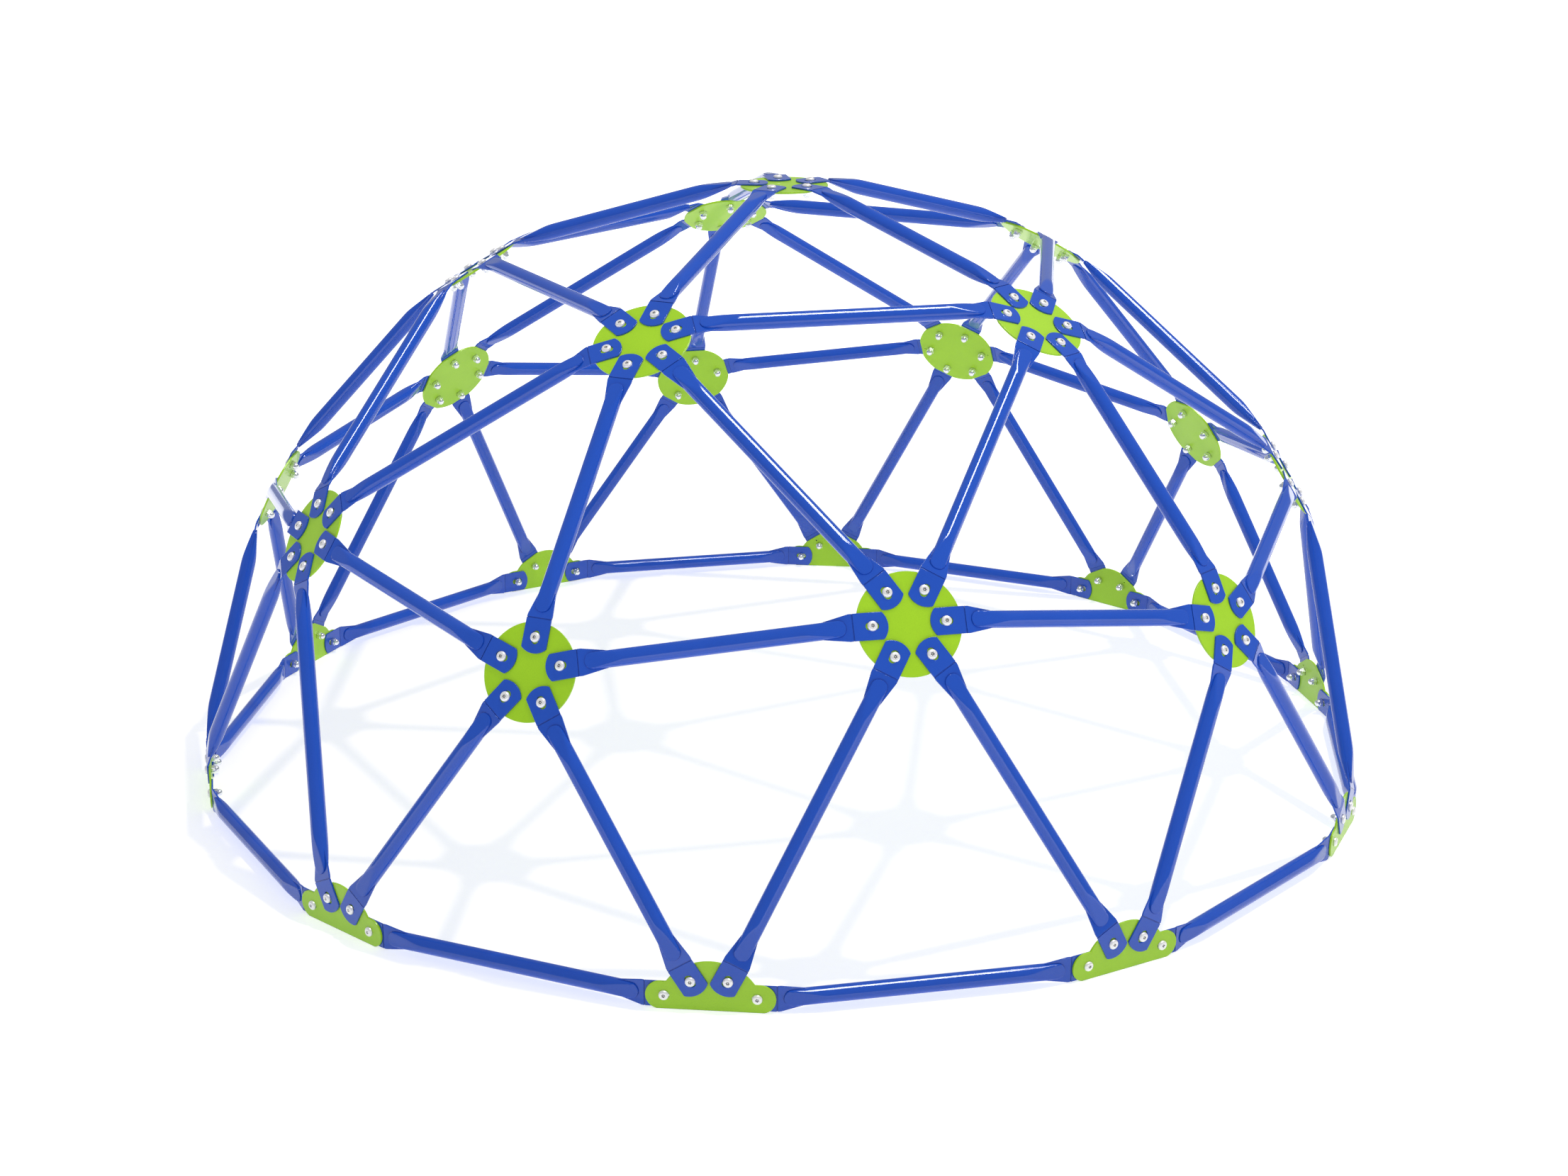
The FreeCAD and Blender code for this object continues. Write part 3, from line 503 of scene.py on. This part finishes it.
class Nodes:
    """A material's node tree, with short calls for the nodes that the finishes share."""

    def __init__(self, name):
        self.material = bpy.data.materials.new(name)
        self.material.use_nodes = True
        self.tree = self.material.node_tree
        self.shader = self.tree.nodes["Principled BSDF"]
        self.place = self.add("ShaderNodeTexCoord").outputs["Object"]

    def add(self, kind, **settings):
        node = self.tree.nodes.new(kind)
        for name, value in settings.items():
            setattr(node, name, value)
        return node

    def link(self, output, socket):
        self.tree.links.new(output, socket)

    def noise(self, scale, detail=3, roughness=0.5):
        node = self.add("ShaderNodeTexNoise")
        node.inputs["Scale"].default_value = scale
        node.inputs["Detail"].default_value = detail
        node.inputs["Roughness"].default_value = roughness
        self.link(self.place, node.inputs["Vector"])
        return node.outputs["Fac"]

    def spread_range(self, value, low, high, to_low, to_high):
        node = self.add("ShaderNodeMapRange")
        for socket, number in zip(node.inputs[1:5], (low, high, to_low, to_high)):
            socket.default_value = number
        self.link(value, node.inputs[0])
        return node.outputs[0]

    def mix(self, factor, first, second, blend="MIX"):
        node = self.add("ShaderNodeMix", data_type="RGBA", blend_type=blend)
        self.link(factor, node.inputs["Factor"])
        for value, socket in ((first, node.inputs[6]), (second, node.inputs[7])):
            if isinstance(value, tuple):
                socket.default_value = (*value, 1)
            else:
                self.link(value, socket)
        return node.outputs[2]

    def bump(self, height, distance, strength=1.0, onto=None):
        node = self.add("ShaderNodeBump")
        node.inputs["Distance"].default_value = distance
        node.inputs["Strength"].default_value = strength
        self.link(height, node.inputs["Height"])
        if onto:
            self.link(onto, node.inputs["Normal"])
        return node.outputs["Normal"]

    def edges(self, radius):
        """1 on edges that are rounded over less than the radius, 0 on flat and gently curved."""
        rounded = self.add("ShaderNodeBevel", samples=6)
        rounded.inputs["Radius"].default_value = radius
        plain = self.add("ShaderNodeNewGeometry")
        facing = self.add("ShaderNodeVectorMath", operation="DOT_PRODUCT")
        self.link(rounded.outputs[0], facing.inputs[0])
        self.link(plain.outputs["Normal"], facing.inputs[1])
        return self.spread_range(facing.outputs["Value"], 0.985, 0.90, 0, 1)

    def painted_crevice_shade(self, reach):
        """A mask for painted shade: 1 at the bottom of a groove or recess, 0 in the open."""
        shade = self.add("ShaderNodeAmbientOcclusion", samples=8)
        shade.inputs["Distance"].default_value = reach
        return self.spread_range(shade.outputs["AO"], 0.62, 0.30, 0, 1)


def powder_coat(name, colour, shade, edge, gloss, fleck):
    """Glossy powder coat: an orange-peel skin, faint cloudiness, flecks, worn-in edges, and shade
    painted into grooves, recesses and joints.
    """
    nodes = Nodes(name)
    shader = nodes.shader
    cloud = nodes.spread_range(nodes.noise(9, 4, 0.6), 0.3, 0.7, 0, 1)
    tone = nodes.mix(cloud, shade, colour)
    specks = nodes.spread_range(nodes.noise(750, 2), 0.50, 0.72, 0, fleck)
    tone = nodes.mix(specks, tone, edge)
    rubbed = nodes.noise(60, 5, 0.7)
    rim = nodes.add("ShaderNodeMath", operation="MULTIPLY")
    nodes.link(nodes.edges(1.6 * MM), rim.inputs[0])
    nodes.link(nodes.spread_range(rubbed, 0.35, 0.65, 0.25, 0.8), rim.inputs[1])
    worn = nodes.mix(rim.outputs[0], tone, edge)
    # Painted shade: the crease, recesses and joints between parts are darkened towards near-black,
    # by how closed in they are.
    painted_shade_colour = tuple(0.12 * part for part in edge)
    nodes.link(nodes.mix(nodes.painted_crevice_shade(4 * MM), worn, painted_shade_colour), shader.inputs["Base Color"])
    nodes.link(nodes.spread_range(rubbed, 0.3, 0.7, gloss, gloss + 0.05), shader.inputs["Roughness"])
    peel = nodes.bump(nodes.noise(220, 1), 0.006 * MM, 0.4)
    grain = nodes.bump(nodes.noise(2400, 1), 0.002 * MM, 0.4, peel)
    nodes.link(grain, shader.inputs["Normal"])
    shader.inputs["Coat Weight"].default_value = 0.3
    shader.inputs["Coat Roughness"].default_value = 0.03
    shader.inputs["Specular IOR Level"].default_value = 0.38
    return nodes.material


def plated_metal(name, colour, dull, gloss, metallic):
    """Plated steel: bright, with faint clouding, fine polishing marks, and shade painted into
    recesses.
    """
    nodes = Nodes(name)
    shader = nodes.shader
    cloud = nodes.spread_range(nodes.noise(160, 4, 0.6), 0.35, 0.65, 0, 1)
    tone = nodes.mix(cloud, colour, dull)
    # Painted shade: recesses, such as the bolt heads' lobed recess, and joints to the plate are
    # darkened towards near-black.
    painted_shade_colour = tuple(0.03 * part for part in dull)
    nodes.link(nodes.mix(nodes.painted_crevice_shade(5 * MM), tone, painted_shade_colour), shader.inputs["Base Color"])
    marks = nodes.noise(2600, 2, 0.6)
    nodes.link(nodes.spread_range(marks, 0.3, 0.7, gloss, gloss + 0.12), shader.inputs["Roughness"])
    nodes.link(nodes.bump(marks, 0.01 * MM, 0.35), shader.inputs["Normal"])
    shader.inputs["Metallic"].default_value = metallic
    return nodes.material


STRUT_PAINT = powder_coat("royal_blue_coat", (0.011, 0.082, 0.530), (0.009, 0.077, 0.505),
                          (0.004, 0.030, 0.280), 0.06, 0.12)
PLATE_PAINT = powder_coat("lime_green_coat", (0.370, 0.680, 0.012), (0.345, 0.645, 0.010),
                          (0.200, 0.450, 0.004), 0.36, 0.4)
BOLT_METAL = plated_metal("bolt_plating", (0.95, 0.95, 0.96), (0.88, 0.89, 0.91), 0.26, 0.35)
NUT_METAL = plated_metal("nut_chrome", (0.92, 0.93, 0.95), (0.84, 0.86, 0.89), 0.10, 0.9)


# ---------------------------------------------------------------- pieces in place

def add_piece(name, mesh, material, place, node):
    """One visible piece, which stands for a CAD node or for one of the solids in it. As in the
    CAD, its object sits at the origin and its place is in its mesh."""
    shape = mesh.copy()
    shape.name = name
    shape.transform(place)
    shape.materials.append(material)
    piece = bpy.data.objects.new(name, shape)
    bpy.context.scene.collection.objects.link(piece)
    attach(piece, "root")
    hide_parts(node)


def add_struts():
    five, six = FIVE_CIRCLE + CREASE_TO_BOLT, SIX_CIRCLE + CREASE_TO_BOLT
    foot = BASE_BOLT[0] + CREASE_TO_BOLT
    short = strut_mesh("short_strut", SHORT_ARC, five, six, TAB_SPHERE)
    long = strut_mesh("long_strut", LONG_ARC, six, six, TAB_SPHERE)
    ring = strut_mesh("base_strut", LONG_ARC, foot, foot, BASE_TAB_SPHERE)

    def place(node, label, mesh, ends, first_reach, sphere=TAB_SPHERE, height=0):
        last_reach = first_reach if mesh is not short else six
        where = strut_place(*ends, first_reach, last_reach, sphere, height)
        add_piece(f"{node}{label}", mesh, STRUT_PAINT, where, node)

    for k in range(5):
        number = k + 1
        corner, after, before = 2 * k, 2 * k + 1, 2 * k - 1
        place(f"crown_strut_{number}", "_tube", short, (CROWN, UPPER[k]), five)
        place(f"upper_ring_strut_{number}", "_tube", long, (UPPER[k], UPPER[(k + 1) % 5]), six)
        place(f"upper_drop_strut_{number}", "_tube", short, (MIDDLE[corner], UPPER[k]), five)
        for label, i in (("_left", before), ("_right", after)):
            place(f"upper_side_struts_{number}", label, long, (UPPER[k], MIDDLE[i]), six)
            place("middle_ring_struts", f"_{number}{label}", short,
                  (MIDDLE[corner], MIDDLE[i]), five)
        for label, i in (("_left", before), ("_right", corner)):
            place(f"short_legs_{number}", label, short, (MIDDLE[corner], BASE[i]), five)
        for label, i in (("_left", corner), ("_right", after)):
            place(f"long_legs_{number}", label, long, (MIDDLE[after], BASE[i]), six)
    for k in range(10):
        place("base_ring_struts", f"_{k + 1}", ring, (BASE[k], BASE[(k + 1) % 10]), foot,
              BASE_TAB_SPHERE, BASE_BOLT[1])


def add_hub(name, place, plate, bolts, nuts):
    """A plate with its own bolts and nuts."""
    add_piece(f"{name}_sheet", plate, PLATE_PAINT, place, name)
    add_piece(f"{name}_bolts", bolts, BOLT_METAL, place, "bolts")
    add_piece(f"{name}_nuts", nuts, NUT_METAL, place, "nuts")


def hub_meshes(label, plate, spots, tabs_outside):
    bolts = fastener_mesh(f"{label}_bolts", bolt_shape, True, spots, tabs_outside)
    nuts = fastener_mesh(f"{label}_nuts", nut_shape, False, spots, tabs_outside)
    return plate, bolts, nuts


def add_round_hubs():
    five_plate = round_plate_mesh("five_way_plate", 5, FIVE_RADIUS, FIVE_CIRCLE, ())
    six_plate = round_plate_mesh("six_way_plate", 6, SIX_RADIUS, SIX_CIRCLE, (0, math.pi))
    five = hub_meshes("five_way", five_plate, circle_spots(FIVE_CIRCLE, 5), [True] * 5)
    six = hub_meshes("six_way", six_plate, circle_spots(SIX_CIRCLE, 6), [True] * 6)

    def place(name, hub, towards, meshes):
        where = framed(hub * PLATE_SPHERE, tangent(hub, towards), hub)
        add_hub(name, where, *meshes)

    place("crown_plate", CROWN, UPPER[0], five)
    for k, hub in enumerate(UPPER):
        place(f"upper_plate_{k + 1}", hub, CROWN, six)
    for k, hub in enumerate(MIDDLE):
        towards = MIDDLE[(k + 1) % 10] if k % 2 else UPPER[k // 2]
        place(f"middle_plate_{k + 1}", hub, towards, six if k % 2 else five)


def add_base_hubs():
    """The plates that stand on the ground. Every second one is turned round to face inwards."""
    up = Vector((0, 0, 1))
    plate = base_plate_mesh("base_plate")
    sides = {side: hub_meshes(f"base_{'right' if side > 0 else 'left'}", plate,
                              base_spots(side), [True, True, False, False])
             for side in (1, -1)}
    for k, hub in enumerate(BASE):
        side = 1 if k % 2 else -1
        across = up.cross(hub)
        name = f"base_plate_{k + 1}"
        sheet, bolts, nuts = sides[side]
        turned = framed(hub * PLATE_SPHERE, across * side, hub * side)
        facing = framed(hub * PLATE_SPHERE, across, hub)
        add_piece(f"{name}_sheet", sheet, PLATE_PAINT, turned, name)
        add_piece(f"{name}_bolts", bolts, BOLT_METAL, facing, "bolts")
        add_piece(f"{name}_nuts", nuts, NUT_METAL, facing, "nuts")


# ---------------------------------------------------------------- stage, light and camera

def add_floor():
    """A plain white floor that reaches past every view."""
    mesh = bpy.data.meshes.new("floor")
    half = 60
    mesh.from_pydata([(-half, -half, 0), (half, -half, 0), (half, half, 0), (-half, half, 0)],
                     [], [(0, 1, 2, 3)])
    floor = bpy.data.objects.new("floor", mesh)
    bpy.context.scene.collection.objects.link(floor)
    nodes = Nodes("white_floor")
    dust = nodes.spread_range(nodes.noise(2.5, 4), 0.3, 0.7, 0, 1)
    nodes.link(nodes.mix(dust, (0.90, 0.91, 0.93), (0.92, 0.93, 0.94)),
               nodes.shader.inputs["Base Color"])
    nodes.shader.inputs["Roughness"].default_value = 0.9
    nodes.shader.inputs["Specular IOR Level"].default_value = 0.1
    nodes.shader.inputs["Emission Color"].default_value = (0.97, 0.98, 1.0, 1)
    reach = nodes.add("ShaderNodeVectorMath", operation="LENGTH")
    nodes.link(nodes.place, reach.inputs[0])
    glow = nodes.spread_range(reach.outputs["Value"], 1.4, 5, 0.22, 1.0)
    nodes.link(glow, nodes.shader.inputs["Emission Strength"])
    mesh.materials.append(nodes.material)


def add_lamp(name, place, width, depth, energy, tint=(1.0, 1.0, 1.0)):
    """A lamp that shines straight down: width along X, depth along Y, in metres. It casts no
    shadows."""
    light = bpy.data.lights.new(name, "AREA")
    light.shape = "RECTANGLE"
    light.size = width
    light.size_y = depth
    light.energy = energy
    light.color = tint
    light.use_shadow = False
    lamp = bpy.data.objects.new(name, light)
    bpy.context.scene.collection.objects.link(lamp)
    lamp.location = place
    return lamp


def add_lighting():
    """A white backdrop that lights the dome less than it shows, a long softbox high above and a
    panel beside it, whose reflections make the streaks on the tubes, and a small lamp that casts
    the faint shadows."""
    world = bpy.data.worlds.new("studio")
    bpy.context.scene.world = world
    world.use_nodes = True
    nodes, links = world.node_tree.nodes, world.node_tree.links
    backdrop = nodes["Background"]
    backdrop.inputs["Color"].default_value = (1.0, 1.0, 1.0, 1)
    backdrop.inputs["Strength"].default_value = 1.1
    room = nodes.new("ShaderNodeBackground")
    room.inputs["Color"].default_value = (0.95, 0.97, 1.0, 1)
    room.inputs["Strength"].default_value = 0.38
    seen = nodes.new("ShaderNodeLightPath")
    either = nodes.new("ShaderNodeMixShader")
    links.new(seen.outputs["Is Camera Ray"], either.inputs["Fac"])
    links.new(room.outputs[0], either.inputs[1])
    links.new(backdrop.outputs[0], either.inputs[2])
    links.new(either.outputs[0], nodes["World Output"].inputs["Surface"])
    add_lamp("softbox", (2.7, -1.5, LAMP_HEIGHT), 2.4, 4.8, 840)
    gloss_panel = add_lamp("gloss_panel", (5.3, 1.3, LAMP_HEIGHT), 2.8, 3.4, 690)
    gloss_panel.visible_diffuse = False
    above = LAMP_HEIGHT + 0.5
    shadow_lamp = add_lamp("shadow_lamp", (3.3, -1.1, above), 0.35, 0.35, 460, (1.0, 0.82, 0.62))
    shadow_lamp.data.use_shadow = True
    shadow_lamp.visible_glossy = False


def add_camera():
    """A camera in front of the dome, a little to its left, that looks down on it."""
    camera = bpy.data.cameras.new("camera")
    camera.lens = FOCAL_LENGTH
    camera.sensor_width = SENSOR_WIDTH
    camera.clip_end = 200
    holder = bpy.data.objects.new("camera", camera)
    bpy.context.scene.collection.objects.link(holder)
    holder.location = Vector(CAMERA_PLACE) * TAB_SPHERE
    holder.rotation_mode = "XYZ"
    holder.rotation_euler = (math.radians(90 - LOOKS_DOWN), 0, math.radians(HEADING))
    bpy.context.scene.camera = holder


add_struts()
add_round_hubs()
add_base_hubs()
add_floor()
add_lighting()
add_camera()
bpy.context.scene.view_settings.view_transform = "Standard"
